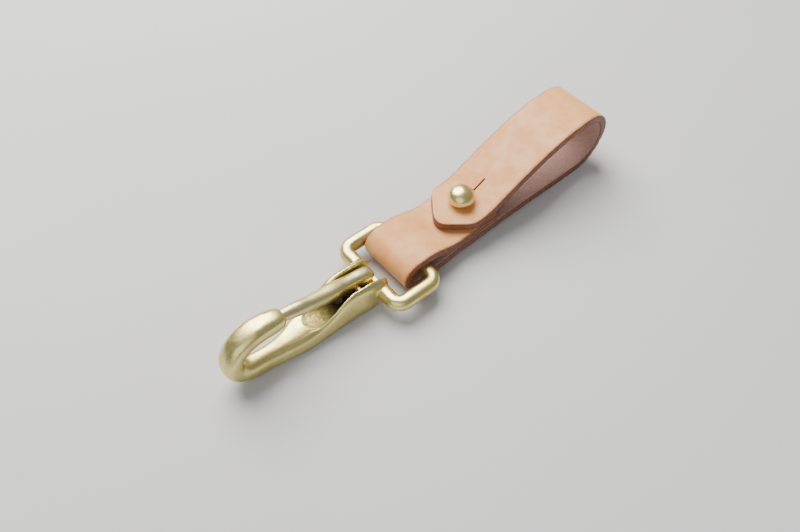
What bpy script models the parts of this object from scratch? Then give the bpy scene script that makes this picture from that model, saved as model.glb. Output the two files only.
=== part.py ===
"""Leather belt-loop key holder with a brass lever-gate snap hook.

The hook is one brass casting: a rectangular eye for the strap, a channel that
holds the gate lever, and a hook whose nose caps the gate's tip. A leather strap
goes through the eye, is pinned by a ball stud and closes as a belt loop.

Lengths are in millimetres until metres() places them. +X runs from the hook's
bend to the loop's far end, +Y is across the strap and +Z is up. X is measured
from the strap's fold, and the origin is under the middle of the whole object. The
strap is drawn straight and then lies a little askew in the eye, as it does in use.
"""
import math

import bmesh
import bpy
from mathutils import Matrix, Vector

MM = 0.001
GAP = 0.3                    # clearance between pieces that touch

# Overall
HOOK_TIP_X = -64.47          # far side of the hook's bend

# Strap
LEATHER = 3.2                # thickness of the strap
STRAP_WIDTH = 20.0
EDGE_CHAMFER = 0.4
FOLD_X = -0.1                # centre of the fold round the eye's back bar
FOLD_Z = 6.1
FOLD_RADIUS = 4.1            # to the middle of the leather
RETURN_END_X = 35.0          # square end of the returned layer
BEND_X = 75.9                # centre of the far bend, and the end of the lower run
BEND_RADIUS = 10.6
BEND_Z = BEND_RADIUS + LEATHER / 2
TIP_X = 15.5                 # point of the flap
TIP_Y = -1.2                 # the point was cut slightly off the middle
TIP_CORNER_FAR_X = 22.8      # corners of the flap's pointed end
TIP_CORNER_NEAR_X = 24.6
TIP_ROUND = 2.6
STRAP_TURN = 1.6             # degrees that the strap lies askew in the eye
STRAP_SHIFT_Y = 1.1          # and how far it has slid along the back bar
FLAP_HINGE_X = BEND_X + 7.6  # where the loop bends when the flap is lifted

# Eye of the hook
EYE_FRONT_X = -11.8          # axes of the two bars that cross the strap
EYE_BACK_X = 3.4
EYE_SIDE_Y = 13.95
EYE_Z = FOLD_Z
BAR_RADIUS = 2.3
EYE_CORNER = 2.8

# Channel and gate
WALL_GAP = 8.0               # between the channel's walls
CAVITY_FRONT_X = -38.2
CAVITY_REAR_X = -15.6
CAVITY_FLOOR_Z = 3.0
SLOT_FLOOR_Z = 5.2           # under the gate's rear end
PIN_X = -18.0
PIN_Z = 7.0
PIN_RADIUS = 1.2
PIN_HALF_LENGTH = 5.7
PIN_HOLE_RADIUS = 1.35
GATE_Y = 0.8                 # the gate lies a little off the middle of its channel
RECESS_FRONT_X = -48.4       # pocket in the nose for the gate's tip
RECESS_TOP_Z = 17.3
RECESS_HALF_WIDTH = 1.8

# Gate spring
SPRING_X = -24.2
SPRING_RADIUS = 1.45
SPRING_WIRE = 0.3
SPRING_TURNS = 4.5
POCKET_RADIUS = 2.1
POCKET_TOP_Z = 9.2

# Stud
STUD_X = 27.0
BALL_RADIUS = 4.1
BALL_HALF_HEIGHT = 3.1
BALL_Z = 14.6
NECK_RADIUS = 2.0
STUD_HOLE_RADIUS = 2.35
FLANGE_RADIUS = 4.2
FLANGE_LOW_Z = 7.3
FLANGE_TOP_Z = 8.3
SOCKET_RADIUS = 1.5
SOCKET_TOP_Z = 7.2
BARREL_LOW_Z = 1.7
SCREW_HEAD_RADIUS = 4.5
SCREW_HEAD_HEIGHT = 1.2
SCREW_SHANK_RADIUS = 1.25
SCREW_TOP_Z = 6.8
SCREW_SLOT_WIDTH = 1.1
SCREW_SLOT_DEPTH = 0.6
SLIT_END_X = 38.2
SLIT_WIDTH = 0.4

# Where the layers run at the stud, from the table up
LOWER_RUN_Z = 1.5 + LEATHER / 2
RETURN_Z = LOWER_RUN_Z + LEATHER + GAP
FLAP_Z = RETURN_Z + LEATHER + GAP + 0.1

# The object's middle, from the hook's tip to the far corner of the turned loop
LOOP_LENGTH = BEND_X + BEND_RADIUS + LEATHER / 2 - EYE_BACK_X
TURN = math.radians(STRAP_TURN)
FAR_END_X = EYE_BACK_X + LOOP_LENGTH * math.cos(TURN) + STRAP_WIDTH / 2 * math.sin(TURN)
MIDDLE_X = (HOOK_TIP_X + FAR_END_X) / 2

# Stations along the hook from the channel's rear to the nose: centre x and z, half depth,
# half width on the outer side, half width on the inner side, and squareness of the section
HOOK_STATIONS = (
    (-10.0, 4.60, 4.50, 5.9, 4.9, 5.0),
    (-13.0, 4.90, 5.05, 6.6, 5.2, 6.0),
    (-17.5, 5.50, 5.65, 6.9, 5.3, 6.0),
    (-22.5, 5.65, 5.80, 6.7, 5.3, 6.0),
    (-26.5, 4.80, 4.95, 6.6, 5.4, 6.0),
    (-30.0, 4.05, 4.20, 6.5, 5.4, 5.0),
    (-35.0, 3.15, 3.30, 6.4, 5.2, 5.0),
    (-41.0, 3.05, 3.20, 6.2, 4.3, 4.0),
    (-47.0, 3.10, 3.20, 5.8, 3.7, 3.4),
    (-53.0, 3.40, 3.20, 5.4, 3.6, 3.0),
    (-58.1, 4.80, 3.10, 5.0, 3.8, 2.6),
    (-61.0, 7.60, 3.05, 4.7, 4.0, 2.4),
    (-61.3, 11.2, 3.00, 4.3, 3.9, 2.2),
    (-58.9, 14.5, 2.90, 4.0, 3.7, 2.1),
    (-55.2, 16.4, 2.85, 3.8, 3.6, 2.0),
    (-51.5, 17.0, 2.95, 3.7, 3.6, 2.0),
    (-47.5, 16.4, 2.85, 3.5, 3.4, 2.0),
    (-44.8, 15.7, 2.20, 2.8, 2.7, 2.0),
    (-43.5, 15.3, 0.90, 1.2, 1.1, 2.0),
)

# Stations along the gate from its tip to its rear end: x, z, half height, half width, squareness
GATE_STATIONS = (
    (-46.6, 15.5, 0.6, 0.6, 2.0),
    (-46.1, 15.5, 1.2, 1.2, 2.0),
    (-44.0, 15.5, 1.5, 1.5, 2.0),
    (-41.0, 15.2, 1.65, 1.65, 2.0),
    (-37.5, 14.3, 1.75, 1.7, 2.0),
    (-33.5, 13.1, 1.95, 1.85, 2.1),
    (-29.5, 11.8, 2.3, 2.3, 2.3),
    (-25.5, 10.4, 2.7, 2.8, 2.7),
    (-21.5, 8.8, 2.9, 3.0, 3.0),
    (-18.0, 7.9, 3.0, 3.0, 3.0),
    (-14.5, 7.9, 2.3, 3.0, 3.0),
    (-12.0, 7.6, 1.8, 2.8, 2.8),
    (-10.8, 7.4, 1.0, 2.2, 2.4),
)


def metres(x, y, z):
    """A place in the object's own frame, from millimetres measured from the fold."""
    return Vector(((x - MIDDLE_X) * MM, y * MM, z * MM))


def clear_scene():
    for obj in list(bpy.data.objects):
        bpy.data.objects.remove(obj, do_unlink=True)


def new_collection(name):
    collection = bpy.data.collections.new(name)
    bpy.context.scene.collection.children.link(collection)
    return collection


def brass(name, roughness):
    return surface(name, (0.72, 0.60, 0.32), roughness, 1.0)


def surface(name, colour, roughness, metallic):
    material = bpy.data.materials.new(name)
    material.use_nodes = True
    shader = material.node_tree.nodes["Principled BSDF"]
    shader.inputs["Base Color"].default_value = (*colour, 1.0)
    shader.inputs["Roughness"].default_value = roughness
    shader.inputs["Metallic"].default_value = metallic
    return material


def add_object(name, data, collection, material=None):
    """Link a mesh or curve as an object; one without a material is a cutter."""
    obj = bpy.data.objects.new(name, data)
    collection.objects.link(obj)
    if material:
        data.materials.append(material)
    else:
        obj.hide_render = True
        obj.display_type = 'WIRE'
    return obj


def curve_to_mesh(obj, collection, material=None):
    """Turn a curve object into a mesh object with its caps welded."""
    evaluated = obj.evaluated_get(bpy.context.evaluated_depsgraph_get())
    mesh = bpy.data.meshes.new_from_object(evaluated)
    shape = bmesh.new()
    shape.from_mesh(mesh)
    bmesh.ops.remove_doubles(shape, verts=shape.verts, dist=0.002 * MM)
    bmesh.ops.recalc_face_normals(shape, faces=shape.faces)
    shape.to_mesh(mesh)
    shape.free()
    mesh.materials.clear()
    name = obj.name
    place = obj.matrix_world.copy()
    bpy.data.objects.remove(obj, do_unlink=True)
    solid = add_object(name, mesh, collection, material)
    solid.matrix_world = place
    return solid


def loft(name, rings, collection, material=None):
    """A closed solid through rings of equal length, capped at both ends."""
    shape = bmesh.new()
    rows = [[shape.verts.new(metres(*point)) for point in ring] for ring in rings]
    count = len(rows[0])
    for row, following in zip(rows, rows[1:]):
        for i in range(count):
            j = (i + 1) % count
            shape.faces.new((row[i], row[j], following[j], following[i]))
    shape.faces.new(rows[0])
    shape.faces.new(rows[-1])
    bmesh.ops.recalc_face_normals(shape, faces=shape.faces)
    mesh = bpy.data.meshes.new(name)
    shape.to_mesh(mesh)
    shape.free()
    mesh.shade_smooth()
    mesh.set_sharp_from_angle(angle=math.radians(40))
    return add_object(name, mesh, collection, material)


def cylinder(name, radius, length, centre, axis, collection, material=None, sides=24):
    """A closed cylinder along 'Y' or 'Z', with its middle at centre."""
    shape = bmesh.new()
    bmesh.ops.create_cone(
        shape, cap_ends=True, segments=sides,
        radius1=radius * MM, radius2=radius * MM, depth=length * MM,
    )
    mesh = bpy.data.meshes.new(name)
    shape.to_mesh(mesh)
    shape.free()
    mesh.shade_smooth()
    mesh.set_sharp_from_angle(angle=math.radians(40))
    obj = add_object(name, mesh, collection, material)
    obj.location = metres(*centre)
    if axis == 'Y':
        obj.rotation_euler = (math.radians(90), 0, 0)
    return obj


def box(name, low, high, collection):
    """A cutter box between two opposite corners."""
    shape = bmesh.new()
    bmesh.ops.create_cube(shape, size=1.0)
    corner, opposite = metres(*low), metres(*high)
    size = opposite - corner
    bmesh.ops.transform(
        shape, verts=shape.verts,
        matrix=Matrix.Translation((corner + opposite) / 2) @ Matrix.Diagonal((*size, 1)),
    )
    mesh = bpy.data.meshes.new(name)
    shape.to_mesh(mesh)
    shape.free()
    return add_object(name, mesh, collection)


def prism(name, outline, low_z, high_z, collection):
    """A cutter with a plan outline of (x, y) points, standing from low_z to high_z."""
    curve = bpy.data.curves.new(name, 'CURVE')
    curve.dimensions = '2D'
    curve.fill_mode = 'BOTH'
    curve.extrude = (high_z - low_z) / 2 * MM
    spline = curve.splines.new('POLY')
    spline.points.add(len(outline) - 1)
    for point, (x, y) in zip(spline.points, outline):
        point.co = (*metres(x, y, 0), 1)
    spline.use_cyclic_u = True
    obj = add_object(name, curve, collection)
    obj.location.z = (low_z + high_z) / 2 * MM
    bpy.context.view_layer.update()
    return curve_to_mesh(obj, collection)


def turned(name, profile, x, collection, material, steps=32):
    """A solid turned about the vertical axis at x from (radius, z), top to bottom."""
    mesh = bpy.data.meshes.new(name)
    points = [(radius * MM, 0, z * MM) for radius, z in profile]
    mesh.from_pydata(points, [(i, i + 1) for i in range(len(points) - 1)], [])
    obj = add_object(name, mesh, collection, material)
    obj.location = metres(x, 0, 0)
    screw = obj.modifiers.new("turn", 'SCREW')
    screw.steps = steps
    screw.render_steps = steps
    screw.use_merge_vertices = True
    screw.merge_threshold = 0.00001
    screw.use_smooth_shade = True
    return obj


def boolean(obj, other, operation):
    modifier = obj.modifiers.new(other.name, 'BOOLEAN')
    modifier.object = other
    modifier.operation = operation
    modifier.solver = 'EXACT'


def blend_stations(stations, steps):
    """More stations on a smooth curve through the given ones."""
    padded = (stations[0], *stations, stations[-1])
    result = []
    for a, b, c, d in zip(padded, padded[1:], padded[2:], padded[3:]):
        for step in range(steps):
            t = step / steps
            result.append(tuple(catmull_rom(*values, t) for values in zip(a, b, c, d)))
    result.append(stations[-1])
    return result


def catmull_rom(a, b, c, d, t):
    bend = (2 * a - 5 * b + 4 * c - d) * t + (3 * b - a - 3 * c + d) * t * t
    return b + 0.5 * ((c - a) + bend) * t


def directions(path):
    """The unit direction of travel in X and Z at each point of a path."""
    ends = [path[0], *path, path[-1]]
    result = []
    for before, after in zip(ends, ends[2:]):
        step = Vector((after[0] - before[0], after[1] - before[1]))
        result.append(step.normalized())
    return result


def superellipse(angle, squareness):
    """A point on a unit superellipse: 2 is a circle, and a higher value is squarer."""
    c, s = math.cos(angle), math.sin(angle)
    power = 2 / squareness
    return math.copysign(abs(c) ** power, c), math.copysign(abs(s) ** power, s)


def hook_rings(sides=20):
    """Sections of the hook, each square to the line through the stations."""
    stations = blend_stations(HOOK_STATIONS, 2)
    rings = []
    for station, travel in zip(stations, directions(stations)):
        x, z, half_depth, half_outer, half_inner, squareness = station
        inward = Vector((travel.y, -travel.x))
        ring = []
        for i in range(sides):
            side, depth = superellipse(2 * math.pi * (i + 0.5) / sides, squareness)
            half_width = half_outer + (half_inner - half_outer) * (depth + 1) / 2
            place = Vector((x, z)) + inward * depth * half_depth
            ring.append((place.x, side * half_width, place.y))
        rings.append(ring)
    return rings


def gate_rings(sides=20):
    """Upright sections of the gate lever."""
    rings = []
    for x, z, half_height, half_width, squareness in blend_stations(GATE_STATIONS, 2):
        ring = []
        for i in range(sides):
            side, height = superellipse(2 * math.pi * (i + 0.5) / sides, squareness)
            ring.append((x, GATE_Y + side * half_width, z + height * half_height))
        rings.append(ring)
    return rings


def arc(centre_x, centre_y, radius, start_deg, end_deg, steps):
    """Points on an arc, both ends included."""
    result = []
    for step in range(steps + 1):
        angle = math.radians(start_deg + (end_deg - start_deg) * step / steps)
        result.append((centre_x + radius * math.cos(angle), centre_y + radius * math.sin(angle)))
    return result


def eye_curve(collection):
    """The eye's round bar: a closed rounded rectangle lying flat."""
    curve = bpy.data.curves.new("eye", 'CURVE')
    curve.dimensions = '3D'
    curve.bevel_depth = BAR_RADIUS * MM
    curve.bevel_resolution = 4
    front, back = EYE_FRONT_X + EYE_CORNER, EYE_BACK_X - EYE_CORNER
    side = EYE_SIDE_Y - EYE_CORNER
    points = (
        arc(back, side, EYE_CORNER, 0, 90, 6) + arc(front, side, EYE_CORNER, 90, 180, 6)
        + arc(front, -side, EYE_CORNER, 180, 270, 6) + arc(back, -side, EYE_CORNER, 270, 360, 6)
    )
    spline = curve.splines.new('POLY')
    spline.points.add(len(points) - 1)
    for point, (x, y) in zip(spline.points, points):
        point.co = (*metres(x, y, EYE_Z), 1)
    spline.use_cyclic_u = True
    obj = add_object("eye", curve, collection)
    bpy.context.view_layer.update()
    return curve_to_mesh(obj, collection)


def make_hook_body(parts, cutters):
    """The casting: hook, channel and eye in one piece."""
    body = loft("hook_body", hook_rings(), parts, brass("cast_brass", 0.34))
    boolean(body, eye_curve(cutters), 'UNION')
    half_gap = WALL_GAP / 2
    nose_end = CAVITY_FRONT_X + half_gap
    outline = arc(nose_end, 0, half_gap, 90, 270, 10) + [
        (CAVITY_REAR_X, -half_gap), (CAVITY_REAR_X, half_gap)
    ]
    boolean(body, prism("cavity", outline, CAVITY_FLOOR_Z, 30, cutters), 'DIFFERENCE')
    slot = box("rear_slot", (CAVITY_REAR_X - 1, -half_gap, SLOT_FLOOR_Z), (-2, half_gap, 30), cutters)
    boolean(body, slot, 'DIFFERENCE')
    recess = box(
        "tip_recess",
        (RECESS_FRONT_X, GATE_Y - RECESS_HALF_WIDTH, 10),
        (-40, GATE_Y + RECESS_HALF_WIDTH, RECESS_TOP_Z), cutters,
    )
    boolean(body, recess, 'DIFFERENCE')
    hole = cylinder("pin_hole", PIN_HOLE_RADIUS, 20, (PIN_X, 0, PIN_Z), 'Y', cutters)
    boolean(body, hole, 'DIFFERENCE')
    under = box("underside", (-70, -20, -5), (10, 20, 0), cutters)
    boolean(body, under, 'DIFFERENCE')
    return body


def make_gate(parts, cutters):
    """The lever that closes the hook, drilled for its pin and for its spring."""
    gate = loft("gate", gate_rings(), parts, brass("gate_brass", 0.30))
    hole = cylinder("gate_hole", PIN_HOLE_RADIUS, 12, (PIN_X, GATE_Y, PIN_Z), 'Y', cutters)
    boolean(gate, hole, 'DIFFERENCE')
    pocket = cylinder(
        "spring_pocket", POCKET_RADIUS, POCKET_TOP_Z, (SPRING_X, GATE_Y, POCKET_TOP_Z / 2),
        'Z', cutters,
    )
    boolean(gate, pocket, 'DIFFERENCE')
    return gate


def make_gate_spring(parts):
    """The small coil spring that pushes the gate's tip up into the nose."""
    curve = bpy.data.curves.new("gate_spring", 'CURVE')
    curve.dimensions = '3D'
    curve.bevel_depth = SPRING_WIRE * MM
    curve.bevel_resolution = 2
    curve.use_fill_caps = True
    low = CAVITY_FLOOR_Z + GAP + SPRING_WIRE
    high = POCKET_TOP_Z - GAP - SPRING_WIRE
    points_per_turn = 12
    count = int(SPRING_TURNS * points_per_turn)
    spline = curve.splines.new('POLY')
    spline.points.add(count)
    for i, point in enumerate(spline.points):
        angle = 2 * math.pi * i / points_per_turn
        place = metres(
            SPRING_X + SPRING_RADIUS * math.cos(angle),
            GATE_Y + SPRING_RADIUS * math.sin(angle),
            low + (high - low) * i / count,
        )
        point.co = (*place, 1)
    material = surface("spring_steel", (0.55, 0.54, 0.52), 0.3, 1.0)
    spring = add_object("gate_spring", curve, parts, material)
    bpy.context.view_layer.update()
    return curve_to_mesh(spring, parts, material)


def base_path():
    """The strap's middle line: returned layer, fold, then the lower run to the far bend."""
    fold_top = FOLD_Z + FOLD_RADIUS
    fold_low = FOLD_Z - FOLD_RADIUS
    returned = (
        (RETURN_END_X, RETURN_Z), (28.0, RETURN_Z), (20.0, RETURN_Z), (15.8, RETURN_Z + 0.25),
        (12.6, RETURN_Z + 1.2), (9.0, RETURN_Z + 2.5), (5.0, fold_top - 0.1), (FOLD_X, fold_top),
    )
    fold = arc(FOLD_X, FOLD_Z, FOLD_RADIUS, 90, 270, 12)
    lower = (
        (FOLD_X, fold_low), (6.0, fold_low + 0.05), (11.0, fold_low + 0.55), (16.0, LOWER_RUN_Z),
        (28.0, LOWER_RUN_Z), (40.0, LOWER_RUN_Z - 0.05), (58.0, LOWER_RUN_Z - 0.8),
        (68.0, LEATHER / 2 + 0.2), (BEND_X - GAP, LEATHER / 2),
    )
    return blend_stations(returned, 3)[:-1] + fold + blend_stations(lower, 3)[1:]


def flap_path():
    """The strap's middle line: far bend, then the upper run down to the flap's point."""
    upper = (
        (BEND_X, BEND_Z + BEND_RADIUS), (67.0, 22.35), (58.0, 20.6), (49.0, 17.8),
        (40.0, 14.3), (35.5, 12.35), (32.0, 10.95), (STUD_X + 1.0, FLAP_Z + 0.05),
        (23.0, FLAP_Z), (TIP_X - 1.0, FLAP_Z + 0.3),
    )
    bend = arc(BEND_X, BEND_Z, BEND_RADIUS, -90, 90, 18)
    return bend[:-1] + blend_stations(upper, 3)


def strap_rings(path):
    """Chamfered rectangular sections of the strap, each square to its path."""
    half_thick, half_width = LEATHER / 2, STRAP_WIDTH / 2
    flat, inset = half_width - EDGE_CHAMFER, half_thick - EDGE_CHAMFER
    corners = (
        (-flat, -half_thick), (flat, -half_thick), (half_width, -inset), (half_width, inset),
        (flat, half_thick), (-flat, half_thick), (-half_width, inset), (-half_width, -inset),
    )
    rings = []
    for (x, z), travel in zip(path, directions(path)):
        normal = Vector((-travel.y, travel.x))
        ring = []
        for across, through in corners:
            ring.append((x + normal.x * through, across, z + normal.y * through))
        rings.append(ring)
    return rings


def flap_outline():
    """Plan of the flap, with its point towards the hook and rounded corners."""
    half = STRAP_WIDTH / 2 + 2
    edge = STRAP_WIDTH / 2
    corners = (
        (BEND_X + 30, -half), (BEND_X + 30, half), (TIP_CORNER_FAR_X + 0.8, half),
        (TIP_CORNER_FAR_X, edge), (TIP_X, TIP_Y + 0.6), (TIP_X, TIP_Y - 0.6),
        (TIP_CORNER_NEAR_X, -edge),
        (TIP_CORNER_NEAR_X + 0.8, -half),
    )
    return round_corners(corners, TIP_ROUND)


def round_corners(corners, length):
    """Cut each corner with a short curve that starts and ends at most length away."""
    result = []
    count = len(corners)
    for i in range(count):
        before, corner, after = (Vector(corners[(i + k) % count]) for k in (-1, 0, 1))
        back = min(length, (before - corner).length * 0.45)
        ahead = min(length, (after - corner).length * 0.45)
        start = corner + (before - corner).normalized() * back
        end = corner + (after - corner).normalized() * ahead
        for t in (0, 0.33, 0.67, 1):
            point = start * (1 - t) ** 2 + corner * 2 * t * (1 - t) + end * t ** 2
            result.append(tuple(point))
    return result


def make_strap_base(parts, cutters):
    """The fixed length of the strap: both layers at the stud and the lower run."""
    leather = surface("strap_leather", (0.78, 0.52, 0.40), 0.6, 0.0)
    strap = loft("strap_base", strap_rings(base_path()), parts, leather)
    hole = cylinder(
        "stud_hole", STUD_HOLE_RADIUS, FLANGE_TOP_Z + 1, (STUD_X, 0, (FLANGE_TOP_Z + 1) / 2),
        'Z', cutters,
    )
    boolean(strap, hole, 'DIFFERENCE')
    low = FLANGE_LOW_Z - GAP
    seat = cylinder("flange_seat", FLANGE_RADIUS + GAP, 4, (STUD_X, 0, low + 2), 'Z', cutters, None, 32)
    boolean(strap, seat, 'DIFFERENCE')
    return strap


def make_strap_flap(parts, cutters):
    """The free length of the strap: far bend, upper run and the flap that buttons."""
    leather = surface("flap_leather", (0.80, 0.54, 0.42), 0.6, 0.0)
    flap = loft("strap_flap", strap_rings(flap_path()), parts, leather)
    boolean(flap, prism("flap_plan", flap_outline(), -5, 40, cutters), 'INTERSECT')
    hole = cylinder("button_hole", STUD_HOLE_RADIUS, 20, (STUD_X, 0, FLAP_Z), 'Z', cutters)
    boolean(flap, hole, 'DIFFERENCE')
    slit = box(
        "button_slit", (STUD_X, -SLIT_WIDTH / 2, FLAP_Z - 5),
        (SLIT_END_X, SLIT_WIDTH / 2, FLAP_Z + 10), cutters,
    )
    boolean(flap, slit, 'DIFFERENCE')
    return flap


def make_stud_post(parts):
    """Ball, neck, flange and threaded barrel in one turned piece."""
    ball = []
    neck_angle = math.asin(NECK_RADIUS / BALL_RADIUS)
    steps = 12
    for step in range(steps + 1):
        angle = (math.pi - neck_angle) * step / steps
        ball.append((BALL_RADIUS * math.sin(angle), BALL_Z + BALL_HALF_HEIGHT * math.cos(angle)))
    profile = ball + [
        (NECK_RADIUS, FLANGE_TOP_Z), (FLANGE_RADIUS - 0.2, FLANGE_TOP_Z),
        (FLANGE_RADIUS, FLANGE_TOP_Z - 0.2), (FLANGE_RADIUS, FLANGE_LOW_Z),
        (NECK_RADIUS, FLANGE_LOW_Z), (NECK_RADIUS, BARREL_LOW_Z), (SOCKET_RADIUS, BARREL_LOW_Z),
        (SOCKET_RADIUS, SOCKET_TOP_Z), (0, SOCKET_TOP_Z),
    ]
    return turned("stud_post", profile, STUD_X, parts, brass("stud_brass", 0.16))


def make_stud_screw(parts, cutters):
    """The slotted screw that holds the stud from under the strap."""
    profile = [
        (0, SCREW_TOP_Z), (SCREW_SHANK_RADIUS - 0.2, SCREW_TOP_Z),
        (SCREW_SHANK_RADIUS, SCREW_TOP_Z - 0.3), (SCREW_SHANK_RADIUS, SCREW_HEAD_HEIGHT),
        (SCREW_HEAD_RADIUS - 0.3, SCREW_HEAD_HEIGHT), (SCREW_HEAD_RADIUS, SCREW_HEAD_HEIGHT - 0.3),
        (SCREW_HEAD_RADIUS, 0.2), (SCREW_HEAD_RADIUS - 0.2, 0), (0, 0),
    ]
    screw = turned("stud_screw", profile, STUD_X, parts, brass("screw_brass", 0.25))
    half_slot = SCREW_SLOT_WIDTH / 2
    slot = box(
        "screw_slot", (STUD_X - 10, -half_slot, -1), (STUD_X + 10, half_slot, SCREW_SLOT_DEPTH),
        cutters,
    )
    boolean(screw, slot, 'DIFFERENCE')
    return screw


def axis_empty(name, place, collection):
    """An empty that stands on a joint's axis, for the pieces that turn about it."""
    axis = bpy.data.objects.new(name, None)
    axis.location = place
    collection.objects.link(axis)
    return axis


def hang(pieces, axis):
    """Parent pieces to an axis where they are."""
    bpy.context.view_layer.update()
    for piece in pieces:
        piece.parent = axis
        piece.matrix_parent_inverse = axis.matrix_world.inverted()


def build():
    clear_scene()
    parts = new_collection("key_holder")
    cutters = new_collection("cutters")
    strap_cutters = new_collection("strap_cutters")
    make_hook_body(parts, cutters)
    cylinder(
        "gate_pin", PIN_RADIUS, PIN_HALF_LENGTH * 2, (PIN_X, 0, PIN_Z), 'Y',
        parts, brass("pin_brass", 0.35),
    )
    make_gate_spring(parts)
    gate = make_gate(parts, cutters)
    base = [
        make_strap_base(parts, strap_cutters), make_stud_post(parts),
        make_stud_screw(parts, strap_cutters),
    ]
    flap = make_strap_flap(parts, strap_cutters)
    gate_axis = axis_empty("gate_axis", metres(PIN_X, 0, PIN_Z), parts)
    strap_axis = axis_empty("strap_axis", metres(EYE_BACK_X, 0, EYE_Z), parts)
    flap_axis = axis_empty("flap_axis", metres(FLAP_HINGE_X, 0, BEND_Z), parts)
    hang([gate], gate_axis)
    hang([flap], flap_axis)
    hang([*base, *strap_cutters.objects, flap_axis], strap_axis)
    strap_axis.location.y += STRAP_SHIFT_Y * MM
    strap_axis.rotation_euler.z = TURN


build()
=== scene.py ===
"""Looks of the leather key holder: the cast brass hook, its gate, the strap and the stud.

Drawing lengths are in millimetres, measured like the model's: X from the strap's fold,
Y across and Z up. hook_place() and strap_place() turn them into the frame's metres.
"""
import math

import bmesh
import bpy
import numpy as np
from mathutils import Euler, Matrix, Vector, noise


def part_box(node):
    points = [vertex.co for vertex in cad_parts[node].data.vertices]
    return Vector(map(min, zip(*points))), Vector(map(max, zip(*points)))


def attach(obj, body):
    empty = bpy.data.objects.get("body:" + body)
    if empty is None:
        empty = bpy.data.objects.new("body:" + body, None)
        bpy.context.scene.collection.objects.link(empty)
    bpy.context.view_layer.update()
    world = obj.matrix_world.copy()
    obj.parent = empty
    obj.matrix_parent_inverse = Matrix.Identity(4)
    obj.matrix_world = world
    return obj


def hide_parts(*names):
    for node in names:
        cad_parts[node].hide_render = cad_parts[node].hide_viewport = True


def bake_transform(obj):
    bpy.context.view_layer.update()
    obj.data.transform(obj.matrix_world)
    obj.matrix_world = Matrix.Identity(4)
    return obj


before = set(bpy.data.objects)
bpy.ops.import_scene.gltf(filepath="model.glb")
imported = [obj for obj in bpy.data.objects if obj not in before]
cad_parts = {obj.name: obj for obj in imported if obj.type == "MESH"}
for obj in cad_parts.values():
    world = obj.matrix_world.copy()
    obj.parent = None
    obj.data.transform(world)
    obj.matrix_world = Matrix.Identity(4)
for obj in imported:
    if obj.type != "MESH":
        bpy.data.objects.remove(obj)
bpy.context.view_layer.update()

MM = 0.001

# Strap
LEATHER = 3.2
STRAP_WIDTH = 20.0
FOLD_X, FOLD_Z, FOLD_RADIUS = -0.1, 6.1, 4.1
RETURN_END_X = 35.0
BEND_X, BEND_RADIUS = 75.9, 10.6
BEND_Z = BEND_RADIUS + LEATHER / 2
LOWER_RUN_Z = 3.1
RETURN_Z = 6.6
FLAP_Z = 10.2
TIP_X, TIP_Y = 15.5, -1.2
TIP_CORNER_FAR_X, TIP_CORNER_NEAR_X, TIP_ROUND = 23.0, 24.2, 3.2
STRAP_TURN = math.radians(1.6)
STRAP_SHIFT_Y = 1.1

# Hook, gate and spring
EYE_FRONT_X, EYE_BACK_X, EYE_FAR_Y, EYE_NEAR_Y = -12.1, 3.4, 13.8, -13.8
EYE_Z, BAR_RADIUS, BACK_BAR_RADIUS, EYE_CORNER = 6.1, 2.42, 2.28, 3.2
WALL_GAP = 8.0
CAVITY_FRONT_X, CAVITY_REAR_X, CAVITY_FLOOR_Z = -38.2, -15.6, 3.0
SLOT_FLOOR_Z = 5.2
SCOOP_Y = -0.9
PIN_X, PIN_Z, PIN_HOLE_RADIUS, PIN_REACH = -18.0, 7.0, 1.4, 5.8
GATE_Y = 0.7
RECESS_FRONT_X, RECESS_TOP_Z, RECESS_HALF_WIDTH = -48.4, 17.4, 2.2
SPRING_X, POCKET_RADIUS, POCKET_TOP_Z = -24.2, 2.1, 9.2
SPRING_RADIUS, SPRING_WIRE, SPRING_TURNS = 1.3, 0.3, 4.5
SPRING_LOW_Z, SPRING_TOP_Z = 3.8, 8.6

# Stud, its screw, and the slit that buttons over it
STUD_X = 27.0
BALL_RADIUS, BALL_HALF_HEIGHT, BALL_Z = 4.5, 3.3, 14.5
NECK_RADIUS, STUD_HOLE_RADIUS = 2.0, 2.35
FLANGE_RADIUS, FLANGE_LOW_Z, FLANGE_TOP_Z = 4.2, 7.3, 8.3
SOCKET_RADIUS, SOCKET_TOP_Z, BARREL_LOW_Z = 1.5, 7.2, 1.7
SCREW_HEAD_RADIUS, SCREW_HEAD_HEIGHT = 4.5, 1.2
SCREW_SHANK_RADIUS, SCREW_TOP_Z = 1.25, 6.8
SCREW_SLOT_WIDTH, SCREW_SLOT_DEPTH = 1.1, 0.6
SLIT_END_X, SLIT_WIDTH = 37.8, 0.6

# Cutters, which reach past what they cut
REAR_SLOT_END_X, CUT_TOP_Z = -2.0, 30.0
RECESS_LOW_Z, RECESS_REAR_X = 10.0, -40.0
UNDERSIDE_LOW, UNDERSIDE_HIGH = (-70, -20, -5), (10, 20, 0)
GATE_HOLE_LENGTH, STRAP_HOLE_LENGTH, BUTTON_HOLE_LENGTH = 12.0, 20.0, 14.0
SLOT_REACH = 10.0
SLIT_LOW_Z, SLIT_TOP_Z = 5.0, 20.0

# How finely the pieces are divided
HOOK_SIDES, HOOK_STEPS = 56, 7
GATE_SIDES, GATE_STEPS = 48, 8
BAR_SIDES, BAR_SQUARENESS = 32, 2.25
CORNER_STEPS = 10
SCOOP_STEPS = 20
TURNED_SIDES, ROD_SIDES = 96, 64
COIL_STEPS, WIRE_SIDES = 24, 10
BALL_STEPS, EDGE_ARC_STEPS = 44, 5

# The pin's node gives where the drawing's zero is in the frame
pin_low, pin_high = (Vector(corner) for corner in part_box("gate_pin"))
MIDDLE_X = PIN_X - (pin_low.x + pin_high.x) / 2 / MM

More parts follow.
